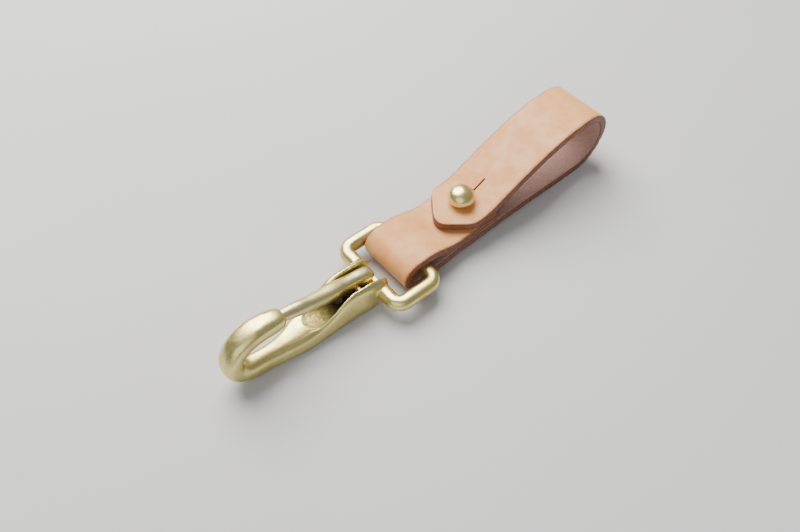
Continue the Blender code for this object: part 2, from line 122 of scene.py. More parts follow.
# Hook stations: centre x, y and z, half depth, half width outside and inside, squareness
HOOK_STATIONS = (
    (-10.2, 0.0, 4.3, 3.9, 5.9, 5.8, 4.0),
    (-11.6, 0.0, 4.8, 4.8, 6.6, 6.3, 4.5),
    (-13.4, 0.0, 5.15, 5.3, 7.0, 6.4, 5.0),
    (-17.5, 0.0, 5.6, 5.75, 7.1, 6.1, 5.5),
    (-22.5, 0.0, 5.75, 5.9, 6.8, 5.7, 6.0),
    (-26.5, -0.1, 4.8, 4.95, 6.6, 5.5, 6.0),
    (-30.0, -0.4, 4.05, 4.2, 6.3, 5.3, 5.0),
    (-35.0, -0.7, 3.15, 3.3, 5.8, 5.1, 5.0),
    (-40.0, -1.0, 3.05, 3.2, 5.4, 4.8, 4.2),
    (-44.0, -1.5, 3.05, 3.2, 4.5, 3.8, 3.5),
    (-48.0, -1.6, 3.1, 3.2, 4.0, 3.1, 3.1),
    (-53.0, -1.35, 3.3, 3.2, 3.6, 2.8, 2.8),
    (-58.3, -1.25, 4.5, 3.1, 3.7, 3.3, 2.6),
    (-61.5, -0.9, 7.2, 3.05, 3.8, 3.6, 2.5),
    (-61.7, -0.4, 10.9, 3.0, 3.9, 3.7, 2.5),
    (-59.2, 0.0, 14.4, 2.95, 3.9, 3.7, 2.5),
    (-55.3, 0.15, 16.3, 2.95, 3.9, 3.7, 2.6),
    (-51.5, 0.2, 16.8, 3.05, 3.8, 3.7, 2.7),
    (-47.5, 0.2, 16.3, 2.95, 3.6, 3.5, 2.7),
    (-44.8, 0.2, 15.8, 2.6, 3.2, 3.1, 2.6),
    (-43.5, 0.2, 15.5, 1.9, 2.4, 2.3, 2.4),
    (-43.0, 0.2, 15.4, 0.8, 1.0, 1.0, 2.2),
)

# Levels of the cavity from the top down: height, how far its front is moved, inset of its sides
SCOOP_LEVELS = (
    (14.0, 3.0, 0.0), (8.0, 1.6, 0.0), (6.4, 0.4, 0.1), (5.6, -1.4, 0.2), (5.0, -3.2, 0.4),
    (4.4, -5.4, 0.6), (3.6, -8.0, 0.9), (CAVITY_FLOOR_Z, -11.0, 1.3),
)
SCOOP_REAR_SHARE = 0.3       # of that inset, at the rear

# Gate stations from the tip back: centre x, y and z, half height, half width, squareness
GATE_STATIONS = (
    (-46.4, 0.5, 15.4, 0.6, 0.6, 2.0),
    (-46.0, 0.5, 15.4, 1.2, 1.2, 2.0),
    (-44.5, 0.55, 15.4, 1.75, 1.7, 2.0),
    (-41.5, 0.4, 15.0, 2.2, 2.1, 2.0),
    (-37.5, 0.25, 14.1, 2.4, 2.35, 2.0),
    (-33.5, 0.3, 12.85, 2.4, 2.3, 2.1),
    (-29.5, 0.5, 11.5, 2.6, 2.5, 2.3),
    (-25.5, 0.7, 10.3, 2.8, 2.65, 2.5),
    (-21.5, 1.0, 8.9, 2.9, 2.6, 2.6),
    (-18.0, 1.1, 8.0, 2.95, 2.5, 2.6),
    (-14.5, 1.1, 7.9, 2.4, 2.4, 2.5),
    (-12.0, 1.0, 7.6, 1.9, 2.3, 2.4),
    (-10.8, 1.0, 7.4, 1.0, 1.6, 2.2),
)


# ---------------------------------------------------------------- places and curves

def hook_place(x, y, z):
    """Drawing millimetres to the frame's metres, for the hook's pieces."""
    return Vector(((x - MIDDLE_X) * MM, y * MM, z * MM))


def strap_place(x, y, z):
    """The same for the strap's pieces, which lie a little askew on the back bar."""
    away = x - EYE_BACK_X
    across = away * math.sin(STRAP_TURN) + y * math.cos(STRAP_TURN) + STRAP_SHIFT_Y
    along = EYE_BACK_X + away * math.cos(STRAP_TURN) - y * math.sin(STRAP_TURN)
    return hook_place(along, across, z)


def catmull_rom(a, b, c, d, t):
    bend = (2 * a - 5 * b + 4 * c - d) * t + (3 * b - a - 3 * c + d) * t * t
    return b + 0.5 * ((c - a) + bend) * t


def blend_stations(stations, steps):
    """More stations on a smooth curve through the given ones."""
    padded = (stations[0], *stations, stations[-1])
    result = []
    for a, b, c, d in zip(padded, padded[1:], padded[2:], padded[3:]):
        for step in range(steps):
            t = step / steps
            result.append(tuple(catmull_rom(*values, t) for values in zip(a, b, c, d)))
    result.append(stations[-1])
    return result


def directions(path):
    """The unit direction of travel in X and Z at each point of a path."""
    ends = [path[0], *path, path[-1]]
    result = []
    for before, after in zip(ends, ends[2:]):
        result.append(Vector((after[0] - before[0], after[1] - before[1])).normalized())
    return result


def arc(centre_x, centre_y, radius, start_deg, end_deg, steps):
    result = []
    for step in range(steps + 1):
        angle = math.radians(start_deg + (end_deg - start_deg) * step / steps)
        result.append((centre_x + radius * math.cos(angle), centre_y + radius * math.sin(angle)))
    return result


def superellipse(angle, squareness):
    c, s = math.cos(angle), math.sin(angle)
    power = 2 / squareness
    return math.copysign(abs(c) ** power, c), math.copysign(abs(s) ** power, s)


def even_spacing(path, spacing):
    """The same path with points an even distance apart, both ends kept."""
    points = [Vector(point) for point in path]
    lengths = [0.0]
    for before, after in zip(points, points[1:]):
        lengths.append(lengths[-1] + (after - before).length)
    count = max(2, round(lengths[-1] / spacing))
    wanted = np.linspace(0, lengths[-1], count + 1)
    columns = [np.interp(wanted, lengths, column).tolist() for column in zip(*points)]
    return list(zip(*columns))


def fade(values, start, end):
    """0 at start and before it, 1 at end and past it, in either direction."""
    return np.clip((values - start) / (end - start), 0, 1)


# ---------------------------------------------------------------- mesh helpers

WELD_DISTANCE = 0.002


def link(name, mesh):
    obj = bpy.data.objects.new(name, mesh)
    bpy.context.scene.collection.objects.link(obj)
    return obj


def skin(shape, rows):
    """Faces between each closed row of vertices and the next one."""
    count = len(rows[0])
    for row, following in zip(rows, rows[1:]):
        for i in range(count):
            j = (i + 1) % count
            shape.faces.new((row[i], row[j], following[j], following[i]))


def loft(name, rings, place):
    """A closed solid through rings of equal length, capped at both ends."""
    shape = bmesh.new()
    rows = [[shape.verts.new(place(*point)) for point in ring] for ring in rings]
    skin(shape, rows)
    shape.faces.new(rows[0])
    shape.faces.new(rows[-1])
    return finish_mesh(name, shape)


def finish_mesh(name, shape):
    bmesh.ops.recalc_face_normals(shape, faces=shape.faces)
    mesh = bpy.data.meshes.new(name)
    shape.to_mesh(mesh)
    shape.free()
    mesh.shade_smooth()
    return link(name, mesh)


def block(name, low, high, place=hook_place):
    """A box between two opposite corners, given in drawing millimetres."""
    shape = bmesh.new()
    corners = [
        shape.verts.new(place(x, y, z))
        for x in (low[0], high[0]) for y in (low[1], high[1]) for z in (low[2], high[2])
    ]
    bmesh.ops.convex_hull(shape, input=corners)
    return finish_mesh(name, shape)


def rod(name, radius, length, place, axis):
    """A cylinder along 'Y' or 'Z' with its middle at a place in the frame."""
    shape = bmesh.new()
    bmesh.ops.create_cone(
        shape, cap_ends=True, segments=ROD_SIDES,
        radius1=radius * MM, radius2=radius * MM, depth=length * MM,
    )
    turn = Euler((math.radians(90) if axis == 'Y' else 0, 0, 0)).to_matrix().to_4x4()
    bmesh.ops.transform(shape, verts=shape.verts, matrix=Matrix.Translation(place) @ turn)
    return finish_mesh(name, shape)


def turned(name, profile, centre):
    """A solid turned about the vertical line through centre from (radius, z)."""
    rings = []
    for radius, z in profile:
        ring = []
        for step in range(TURNED_SIDES):
            angle = 2 * math.pi * step / TURNED_SIDES
            ring.append((radius * math.cos(angle), radius * math.sin(angle), z))
        rings.append(ring)
    return loft(name, rings, lambda x, y, z: centre + Vector((x, y, z)) * MM)


def apply_modifiers(obj):
    """Replace the object's mesh by what its modifiers make of it."""
    evaluated = obj.evaluated_get(bpy.context.evaluated_depsgraph_get())
    mesh = bpy.data.meshes.new_from_object(evaluated)
    obj.modifiers.clear()
    old = obj.data
    obj.data = mesh
    bpy.data.meshes.remove(old)
    return obj


def combine(obj, others, operation):
    """Cut or join other meshes, which are used up."""
    for other in others:
        modifier = obj.modifiers.new(other.name, 'BOOLEAN')
        modifier.object = other
        modifier.operation = operation
        modifier.solver = 'EXACT'
    apply_modifiers(obj)
    for other in others:
        bpy.data.objects.remove(other, do_unlink=True)
    return obj


def add_smoothing(obj, rounds):
    smooth = obj.modifiers.new("soften", 'SMOOTH')
    smooth.factor = 0.5
    smooth.iterations = rounds
    return smooth


def cast(obj, voxel, rounds):
    """Melt a solid's joins and edges together, as a casting's are."""
    remesh = obj.modifiers.new("voxels", 'REMESH')
    remesh.mode = 'VOXEL'
    remesh.voxel_size = voxel * MM
    add_smoothing(obj, rounds)
    apply_modifiers(obj)
    obj.data.shade_smooth()


def tidy_faces(obj, angle_deg=35):
    """Weld tiny gaps after a cut and shade the hard edges hard."""
    shape = bmesh.new()
    shape.from_mesh(obj.data)
    bmesh.ops.remove_doubles(shape, verts=shape.verts, dist=WELD_DISTANCE * MM)
    bmesh.ops.dissolve_degenerate(shape, edges=shape.edges, dist=WELD_DISTANCE / 2 * MM)
    shape.to_mesh(obj.data)
    shape.free()
    obj.data.shade_smooth()
    obj.data.set_sharp_from_angle(angle=math.radians(angle_deg))
    return obj


def set_values(obj, name, kind, values):
    """Store one value per vertex for the material to read."""
    attribute = obj.data.attributes.new(name, kind, 'POINT')
    field = "value" if kind == 'FLOAT' else "vector"
    attribute.data.foreach_set(field, np.asarray(values, dtype=np.float32).ravel())


def vertex_places(obj):
    places = np.empty(len(obj.data.vertices) * 3, dtype=np.float32)
    obj.data.vertices.foreach_get("co", places)
    return places.reshape(-1, 3)


# ---------------------------------------------------------------- hook casting

CAST_VOXEL, CAST_ROUNDS = 0.24, 8
MELT_ROUNDS, MELT_LEAST = 26, 0.01
# How much the walls' tops are melted, from 0 to 1, along X, up Z and out from the middle
MELT_ALONG = (-42, -37, -12, -8), (0, 1, 1, 0)
MELT_UP = (2.5, 5.0), (0.2, 1)
MELT_ACROSS = (8, 10), (1, 0)

# The cavity's as-cast skin: where it fades in, and its crest along the walls
SKIN_SIDE_FADE, SKIN_FRONT_FADE, SKIN_CREST_FADE = 0.25, 0.5, 0.6
SKIN_REAR, SKIN_LOW = (-13.0, -14.5), (1.0, 1.5)
SKIN_LEAST = 0.02
SKIN_CREST = (-38, -34, -30, -26.5, -22.5, -15), (6.0, 6.0, 7.6, 9.0, 10.4, 9.6)
# Where the cavity darkens towards its rear and its floor: partly grime, partly painted shade under
# the gate
GRIME_AND_SHADE_ALONG, GRIME_AND_SHADE_DOWN = (-33.0, -25.0), (8.8, 6.8)
LUMP_SIZE, SMALL_LUMP_SIZE, LUMP_HEIGHT = 1.6, 0.5, 0.10


def hook_rings():
    stations = blend_stations(HOOK_STATIONS, HOOK_STEPS)
    centres = [(station[0], station[2]) for station in stations]
    rings = []
    for station, travel in zip(stations, directions(centres)):
        x, y, z, half_depth, half_outer, half_inner, squareness = station
        inward = Vector((travel.y, -travel.x))
        ring = []
        for i in range(HOOK_SIDES):
            side, depth = superellipse(2 * math.pi * (i + 0.5) / HOOK_SIDES, squareness)
            half_width = half_outer + (half_inner - half_outer) * (depth + 1) / 2
            place = Vector((x, z)) + inward * depth * half_depth
            ring.append((place.x, y + side * half_width, place.y))
        rings.append(ring)
    return rings


def eye_ring():
    """The eye's bar, nearly round in section, along a closed rounded rectangle."""
    front, back = EYE_FRONT_X + EYE_CORNER, EYE_BACK_X - EYE_CORNER
    far, near = EYE_FAR_Y - EYE_CORNER, EYE_NEAR_Y + EYE_CORNER
    path = []
    for quarter, (x, y) in enumerate(((back, far), (front, far), (front, near), (back, near))):
        path += arc(x, y, EYE_CORNER, 90 * quarter, 90 * quarter + 90, CORNER_STEPS)
    return closed_tube("eye_ring", [(x, y, EYE_Z, bar_radius(x)) for x, y in path])


def bar_radius(x):
    """The back bar is a little thinner, as the strap turns on it."""
    return float(np.interp(x, (EYE_BACK_X - EYE_CORNER, EYE_BACK_X), (BAR_RADIUS, BACK_BAR_RADIUS)))


def closed_tube(name, path):
    """A level tube that runs through (x, y, z, radius) and back to its start."""
    shape = bmesh.new()
    rows = []
    for i, (x, y, z, radius) in enumerate(path):
        before, after = path[i - 1], path[(i + 1) % len(path)]
        travel = (Vector(after[:2]) - Vector(before[:2])).normalized()
        row = []
        for k in range(BAR_SIDES):
            out, up = superellipse(2 * math.pi * (k + 0.5) / BAR_SIDES, BAR_SQUARENESS)
            place = hook_place(
                x + travel.y * out * radius, y - travel.x * out * radius, z + up * radius,
            )
            row.append(shape.verts.new(place))
        rows.append(row)
    skin(shape, rows + rows[:1])
    return finish_mesh(name, shape)


def scoop():
    """The cavity under the gate: shallow in front, steep-sided, deepest in the middle."""
    half_gap = WALL_GAP / 2
    rings = []
    for z, front_shift, inset in SCOOP_LEVELS:
        radius = half_gap - inset
        centre = CAVITY_FRONT_X + half_gap - front_shift
        rear = CAVITY_REAR_X - inset * SCOOP_REAR_SHARE
        ring = arc(centre, SCOOP_Y, radius, 90, 270, SCOOP_STEPS)
        ring += [(rear, -radius), (rear, radius)]
        rings.append([(x, y, z) for x, y in ring])
    return loft("scoop", rings, hook_place)


def make_hook():
    body = loft("hook_casting", hook_rings(), hook_place)
    combine(body, [eye_ring()], 'UNION')
    half_gap = WALL_GAP / 2
    cuts = [
        scoop(),
        block(
            "rear_slot", (CAVITY_REAR_X - 1, -half_gap, SLOT_FLOOR_Z),
            (REAR_SLOT_END_X, half_gap, CUT_TOP_Z),
        ),
        block(
            "tip_recess", (RECESS_FRONT_X, GATE_Y - RECESS_HALF_WIDTH, RECESS_LOW_Z),
            (RECESS_REAR_X, GATE_Y + RECESS_HALF_WIDTH, RECESS_TOP_Z),
        ),
        block("underside", UNDERSIDE_LOW, UNDERSIDE_HIGH),
        rod("pin_hole", PIN_HOLE_RADIUS, 2 * PIN_REACH, hook_place(PIN_X, 0, PIN_Z), 'Y'),
    ]
    combine(body, cuts, 'DIFFERENCE')
    cast(body, CAST_VOXEL, CAST_ROUNDS)
    melt(body, MELT_ROUNDS, wall_tops)
    roughen_cavity(body)
    return body


def wall_tops(x, y, z):
    """Where the casting is rounded most: the walls' tops and how they run into the eye."""
    along = np.interp(x, *MELT_ALONG)
    return along * np.interp(z, *MELT_UP) * np.interp(np.abs(y), *MELT_ACROSS)


def melt(obj, rounds, weight):
    """Smooth a casting further where weight(x, y, z) says so."""
    group = obj.vertex_groups.new(name="melt")
    places = vertex_places(obj) / MM + np.array((MIDDLE_X, 0, 0))
    amounts = weight(*places.T)
    for index in np.flatnonzero(amounts > MELT_LEAST):
        group.add([int(index)], float(amounts[index]), 'REPLACE')
    add_smoothing(obj, rounds).vertex_group = group.name
    apply_modifiers(obj)


def roughen_cavity(body):
    """Give the cavity its as-cast skin, and mark it for the material."""
    places = vertex_places(body)
    x = places[:, 0] / MM + MIDDLE_X
    y = places[:, 1] / MM
    z = places[:, 2] / MM
    wall = WALL_GAP / 2
    inside = fade(np.abs(y), wall + SKIN_SIDE_FADE, wall - SKIN_SIDE_FADE)
    inside *= fade(x, CAVITY_FRONT_X - SKIN_FRONT_FADE, CAVITY_FRONT_X + SKIN_FRONT_FADE)
    inside *= fade(x, *SKIN_REAR) * fade(z, *SKIN_LOW)
    inside *= fade(z - np.interp(x, *SKIN_CREST), 0, -SKIN_CREST_FADE)
    set_values(body, "as_cast", 'FLOAT', inside)
    # A darkening mask for the cavity: partly grime, partly painted shade deeper down and towards
    # the rear
    set_values(body, "grime_and_shade", 'FLOAT', inside * fade(x, *GRIME_AND_SHADE_ALONG) * fade(z, *GRIME_AND_SHADE_DOWN))
    moves = []
    for index in np.flatnonzero(inside > SKIN_LEAST):
        vertex = body.data.vertices[int(index)]
        lump = noise.noise(vertex.co / (LUMP_SIZE * MM))
        lump += noise.noise(vertex.co / (SMALL_LUMP_SIZE * MM)) / 2
        moves.append((vertex, vertex.normal * float(inside[index]) * lump * LUMP_HEIGHT * MM))
    for vertex, move in moves:
        vertex.co += move


def make_gate():
    rings = []
    stations = blend_stations(GATE_STATIONS, GATE_STEPS)
    for x, y, z, half_height, half_width, squareness in stations:
        ring = []
        for i in range(GATE_SIDES):
            side, height = superellipse(2 * math.pi * (i + 0.5) / GATE_SIDES, squareness)
            ring.append((x, y + side * half_width, z + height * half_height))
        rings.append(ring)
    gate = loft("gate_lever", rings, hook_place)
    pin_place = hook_place(PIN_X, GATE_Y, PIN_Z)
    pin_hole = rod("gate_hole", PIN_HOLE_RADIUS, GATE_HOLE_LENGTH, pin_place, 'Y')
    pocket = rod(
        "spring_pocket", POCKET_RADIUS, POCKET_TOP_Z,
        hook_place(SPRING_X, GATE_Y, POCKET_TOP_Z / 2), 'Z',
    )
    return tidy_faces(combine(gate, [pin_hole, pocket], 'DIFFERENCE'))


def make_spring():
    """The coil spring that pushes the gate's tip up into the nose."""
    count = int(SPRING_TURNS * COIL_STEPS)
    rings = []
    for step in range(count + 1):
        angle = 2 * math.pi * step / COIL_STEPS
        height = SPRING_LOW_Z + (SPRING_TOP_Z - SPRING_LOW_Z) * step / count
        ring = []
        for out, up in arc(0, 0, SPRING_WIRE, 0, 360, WIRE_SIDES)[:-1]:
            reach = SPRING_RADIUS + out
            ring.append((
                SPRING_X + reach * math.cos(angle), GATE_Y + reach * math.sin(angle), height + up,
            ))
        rings.append(ring)
    return loft("coil_spring", rings, hook_place)


# ---------------------------------------------------------------- stud

AXIS_RADIUS = 0.02           # a turned end closes on a ring this small
POLE_ANGLE = 0.004
NECK_WAIST, NECK_WAIST_TOP_Z, NECK_WAIST_LOW_Z = 0.1, 11.4, 9.4
NECK_FLARE, NECK_FLARE_Z = 0.35, 8.7
FLANGE_ROUND = 0.3
THREAD_CRESTS, THREAD_START, THREAD_HALF_PITCH, THREAD_DEPTH = 9, 0.5, 0.25, 0.16
SCREW_END_CHAMFER, SCREW_UNDERCUT, SCREW_HEAD_ROUND = 0.3, 0.1, 0.25


def make_stud():
    """Ball, neck, flange and barrel, turned in one piece."""
    sweep = math.pi - math.asin(NECK_RADIUS / BALL_RADIUS) - POLE_ANGLE
    ball = []
    for step in range(BALL_STEPS + 1):
        angle = POLE_ANGLE + sweep * step / BALL_STEPS
        ball.append((BALL_RADIUS * math.sin(angle), BALL_Z + BALL_HALF_HEIGHT * math.cos(angle)))
    waist, rim = NECK_RADIUS - NECK_WAIST, FLANGE_RADIUS - FLANGE_ROUND
    profile = [
        *ball, (waist, NECK_WAIST_TOP_Z), (waist, NECK_WAIST_LOW_Z), (NECK_RADIUS, NECK_FLARE_Z),
        (NECK_RADIUS + NECK_FLARE, FLANGE_TOP_Z),
        *arc(rim, FLANGE_TOP_Z - FLANGE_ROUND, FLANGE_ROUND, 90, 0, EDGE_ARC_STEPS),
        (FLANGE_RADIUS, FLANGE_LOW_Z), (NECK_RADIUS, FLANGE_LOW_Z), (NECK_RADIUS, BARREL_LOW_Z),
        (SOCKET_RADIUS, BARREL_LOW_Z), (SOCKET_RADIUS, SOCKET_TOP_Z), (AXIS_RADIUS, SOCKET_TOP_Z),
    ]
    return tidy_faces(turned("ball_stud", profile, strap_place(STUD_X, 0, 0)))


def make_screw():
    """The slotted screw, with a rounded head edge and ridges for its thread."""
    thread = []
    for step in range(THREAD_CRESTS * 2 + 1):
        z = SCREW_TOP_Z - THREAD_START - step * THREAD_HALF_PITCH
        thread.append((SCREW_SHANK_RADIUS - (THREAD_DEPTH if step % 2 else 0.0), z))
    rim, size = SCREW_HEAD_RADIUS - SCREW_HEAD_ROUND, SCREW_HEAD_ROUND
    profile = [
        (AXIS_RADIUS, SCREW_TOP_Z), (SCREW_SHANK_RADIUS - SCREW_END_CHAMFER, SCREW_TOP_Z), *thread,
        (SCREW_SHANK_RADIUS - SCREW_UNDERCUT, SCREW_HEAD_HEIGHT),
        *arc(rim, SCREW_HEAD_HEIGHT - size, size, 90, 0, EDGE_ARC_STEPS),
        *arc(rim, size, size, 0, -90, EDGE_ARC_STEPS), (AXIS_RADIUS, 0.0),
    ]
    screw = turned("strap_screw", profile, strap_place(STUD_X, 0, 0))
    half = SCREW_SLOT_WIDTH / 2
    slot = block(
        "slot", (STUD_X - SLOT_REACH, -half, -1), (STUD_X + SLOT_REACH, half, SCREW_SLOT_DEPTH),
        strap_place,
    )
    return tidy_faces(combine(screw, [slot], 'DIFFERENCE'))


# ---------------------------------------------------------------- strap

EDGE_ROUND = 0.6             # the dressed edge's radius
EDGE_ROUND_STEPS = 6
ACROSS_STEPS = 26
EDGE_STEPS = 13
STEP_ALONG = 0.5
RUN_STEPS, FOLD_STEPS, BEND_STEPS = 8, 30, 40
ROUNDING_POINTS, ROUNDING_SHARE = 10, 0.45
TIP_ZONE = 17.0              # how far back the pointed end's outline is blended in
SQUARE_ZONE = 4.0
END_SIDE, END_ROUND = 2.5, 1.0
TIP_SIDE, TIP_TRIM, TIP_HALF_FLAT = 5.0, 0.3, 1.6
SEAT_HEIGHT, SEAT_CLEARANCE, SEAT_DEPTH = 3.0, 0.12, 0.05

# The middle of the leather, in X and Z: returned layer, lower run and upper run
FOLD_TOP_Z, FOLD_LOW_Z = FOLD_Z + FOLD_RADIUS, FOLD_Z - FOLD_RADIUS
RETURNED_RUN = (
    (RETURN_END_X, RETURN_Z), (28.0, RETURN_Z), (20.0, RETURN_Z), (15.8, RETURN_Z + 0.25),
    (12.6, RETURN_Z + 1.2), (9.0, RETURN_Z + 2.5), (5.0, FOLD_TOP_Z - 0.1), (FOLD_X, FOLD_TOP_Z),
)
LOWER_RUN = (
    (FOLD_X, FOLD_LOW_Z), (6.0, FOLD_LOW_Z + 0.05), (11.0, FOLD_LOW_Z + 0.55),
    (16.0, LOWER_RUN_Z), (28.0, LOWER_RUN_Z), (40.0, LOWER_RUN_Z - 0.05),
    (58.0, LOWER_RUN_Z - 0.8), (68.0, LEATHER / 2 + 0.2), (BEND_X, LEATHER / 2),
)
UPPER_RUN = (
    (BEND_X, BEND_Z + BEND_RADIUS), (67.0, 22.35), (58.0, 20.6), (49.0, 17.8),
    (40.0, 14.3), (35.5, 12.35), (32.0, 10.95), (STUD_X + 1.0, FLAP_Z + 0.05),
    (23.0, FLAP_Z), (TIP_X, FLAP_Z + 0.25),
)

# Wear on the leather: how far in from an edge it reaches, and how much it moves the surface
RIM_OUTER, RIM_INNER, END_RIM = 0.2, 1.2, 0.7
SEAM_FADE = 5.0
SWELL_HEIGHT, RIPPLE_HEIGHT, NICK_DEPTH, NICK_LEAST = 0.10, 0.08, 0.45, 0.15
SEAM_REACH = 0.01


def base_path():
    """From the seam at the far bend back to the fold, round it, and to the square end."""
    fold = arc(FOLD_X, FOLD_Z, FOLD_RADIUS, 90, 270, FOLD_STEPS)
    returned, lower = blend_stations(RETURNED_RUN, RUN_STEPS), blend_stations(LOWER_RUN, RUN_STEPS)
    path = returned[:-1] + fold + lower[1:]
    return even_spacing(path[::-1], STEP_ALONG)


def flap_path():
    """From the same seam round the far bend and along the upper run to the point."""
    bend = arc(BEND_X, BEND_Z, BEND_RADIUS, -90, 90, BEND_STEPS)
    return even_spacing(bend[:-1] + blend_stations(UPPER_RUN, RUN_STEPS), STEP_ALONG)


def edge_profile():
    """From the top's flat part round the strap's edge to the underside: (outwards, through)."""
    low = LEATHER / 2 - EDGE_ROUND
    top = [(x, low + z) for x, z in arc(0, 0, EDGE_ROUND, 90, 0, EDGE_ROUND_STEPS)]
    return top + [(out, -through) for out, through in reversed(top)]


def round_corners(corners, length):
    """An open outline whose inner corners are each cut by a short curve."""
    result = [corners[0]]
    for before, corner, after in zip(corners, corners[1:], corners[2:]):
        before, corner, after = Vector(before), Vector(corner), Vector(after)
        back = min(length, (before - corner).length * ROUNDING_SHARE)
        ahead = min(length, (after - corner).length * ROUNDING_SHARE)
        start = corner + (before - corner).normalized() * back
        end = corner + (after - corner).normalized() * ahead
        for t in np.linspace(0, 1, ROUNDING_POINTS).tolist():
            result.append(tuple(start * (1 - t) ** 2 + corner * 2 * t * (1 - t) + end * t ** 2))
    result.append(corners[-1])
    return result


class Strip:
    """A leather strip along a path, with places on it given along, across and through."""

    def __init__(self, path, grain_side):
        self.path = np.array(path)
        self.travel = np.array([tuple(step) for step in directions(path)])
        self.grain_side = grain_side
        steps = np.hypot(*np.diff(self.path, axis=0).T)
        self.distance = np.concatenate(([0.0], np.cumsum(steps)))
        self.length = float(self.distance[-1])
        self.profile = edge_profile()
        lengths = [math.dist(a, b) for a, b in zip(self.profile, self.profile[1:])]
        self.profile_at = np.concatenate(([0.0], np.cumsum(lengths)))

    def place(self, along, across, through):
        x, z = (np.interp(along, self.distance, self.path[:, k]) for k in (0, 1))
        tx, tz = (np.interp(along, self.distance, self.travel[:, k]) for k in (0, 1))
        lift = through * self.grain_side
        return strap_place(float(x - tz * lift), across, float(z + tx * lift))

    def edge_points(self, start):
        """The edge profile from one distance down it to the same distance up from its end."""
        total = self.profile_at[-1]
        spots = np.linspace(start, total - start, EDGE_STEPS)
        columns = [np.interp(spots, self.profile_at, [p[k] for p in self.profile]) for k in (0, 1)]
        return list(zip(columns[0].tolist(), columns[1].tolist()))

    def section(self, middle, outward, start):
        """One closed ring. middle and outward hold (along, across) for each step across."""
        edge = self.edge_points(start)
        out, through = edge[0]
        line = [(a + da * out, c + dc * out) for (a, c), (da, dc) in zip(middle, outward)]
        ring = [(a, c, through) for a, c in line]
        a, c = middle[-1]
        ring += [(a, c - side, height) for side, height in edge[1:-1]]
        ring += [(a, c, -through) for a, c in reversed(line)]
        a, c = middle[0]
        ring += [(a, c + side, height) for side, height in reversed(edge[1:-1])]
        return ring

    def end_outline(self, corners, corner_length):
        """The end's cut line, drawn in by the edge radius, and its outward directions."""
        outline = round_corners(corners, corner_length)
        length = sum(math.dist(a, b) for a, b in zip(outline, outline[1:]))
        outline = even_spacing(outline, length / ACROSS_STEPS)
        end_x = self.path[-1][0]
        sign = 1 if self.travel[-1][0] > 0 else -1
        line = [Vector((self.length + (x - end_x) * sign, y)) for x, y in outline]
        middle, outward = [], []
        for i, point in enumerate(line):
            travel = (line[min(i + 1, len(line) - 1)] - line[max(i - 1, 0)]).normalized()
            out = Vector((-travel.y, travel.x))
            middle.append(tuple(point - out * EDGE_ROUND))
            outward.append(tuple(out))
        outward[0], outward[-1] = (0.0, 1.0), (0.0, -1.0)
        return middle, outward

    def rings(self, corners, corner_length, zone):
        """Every section from the seam to the cut end, whose last ones round its edge off."""
        half = STRAP_WIDTH / 2 - EDGE_ROUND
        flat = np.linspace(half, -half, ACROSS_STEPS + 1).tolist()
        middle, outward = self.end_outline(corners, corner_length)
        blend_start = self.length - zone
        result = []
        for along in self.distance:
            if along < blend_start - STEP_ALONG / 2:
                result.append(self.section([(float(along), y) for y in flat], outward, 0.0))
        count = round(zone / STEP_ALONG)
        for step in range(count + 1):
            t = step / count
            line = [
                (blend_start + (a - blend_start) * t, y + (c - y) * t)
                for (a, c), y in zip(middle, flat)
            ]
            result.append(self.section(line, outward, 0.0))
        rounding = self.profile_at[EDGE_ROUND_STEPS]
        for step in range(1, EDGE_ROUND_STEPS + 1):
            result.append(self.section(middle, outward, rounding * step / EDGE_ROUND_STEPS))
        return result

    def solid(self, name, corners, corner_length, zone):
        shape = bmesh.new()
        rows = []
        for ring in self.rings(corners, corner_length, zone):
            rows.append([shape.verts.new(self.place(*point)) for point in ring])
        skin(shape, rows)
        self.cap(shape, rows[0])
        self.cap(shape, rows[-1])
        return finish_mesh(name, shape)

    def cap(self, shape, row):
        """Close an end with a grid between the section's upper and lower lines."""
        across, side = ACROSS_STEPS + 1, EDGE_STEPS - 2
        top, low = row[:across], row[across + side:2 * across + side][::-1]
        columns = [row[2 * across + side:][::-1]]
        for upper, lower in zip(top[1:-1], low[1:-1]):
            column = []
            for step in range(1, side + 1):
                column.append(shape.verts.new(upper.co.lerp(lower.co, step / (side + 1))))
            columns.append(column)
        columns.append(row[across:across + side])
        columns = [[u, *column, v] for u, column, v in zip(top, columns, low)]
        for left, right in zip(columns, columns[1:]):
            for i in range(side + 1):
                shape.faces.new((left[i], right[i], right[i + 1], left[i + 1]))

    def coordinates(self, obj):
        """Along, across and through, in millimetres, of each vertex of a mesh on the strip."""
        places = vertex_places(obj) / MM
        c, s = math.cos(STRAP_TURN), math.sin(STRAP_TURN)
        x = places[:, 0] + MIDDLE_X - EYE_BACK_X
        y = places[:, 1] - STRAP_SHIFT_Y
        flat = np.column_stack((EYE_BACK_X + x * c + y * s, places[:, 2]))
        across = y * c - x * s
        best = np.full(len(flat), np.inf)
        along, through = np.zeros(len(flat)), np.zeros(len(flat))
        for k in range(len(self.path) - 1):
            start, step = self.path[k], self.path[k + 1] - self.path[k]
            size = float(np.hypot(*step))
            t = np.clip(((flat - start) @ step) / size ** 2, 0, 1)
            gap = flat - start - t[:, None] * step
            far = np.hypot(gap[:, 0], gap[:, 1])
            side = (step[0] * gap[:, 1] - step[1] * gap[:, 0]) * self.grain_side
            near = far < best
            best = np.where(near, far, best)
            along = np.where(near, self.distance[k] + t * size, along)
            through = np.where(near, np.copysign(far, side), through)
        return along, across, through


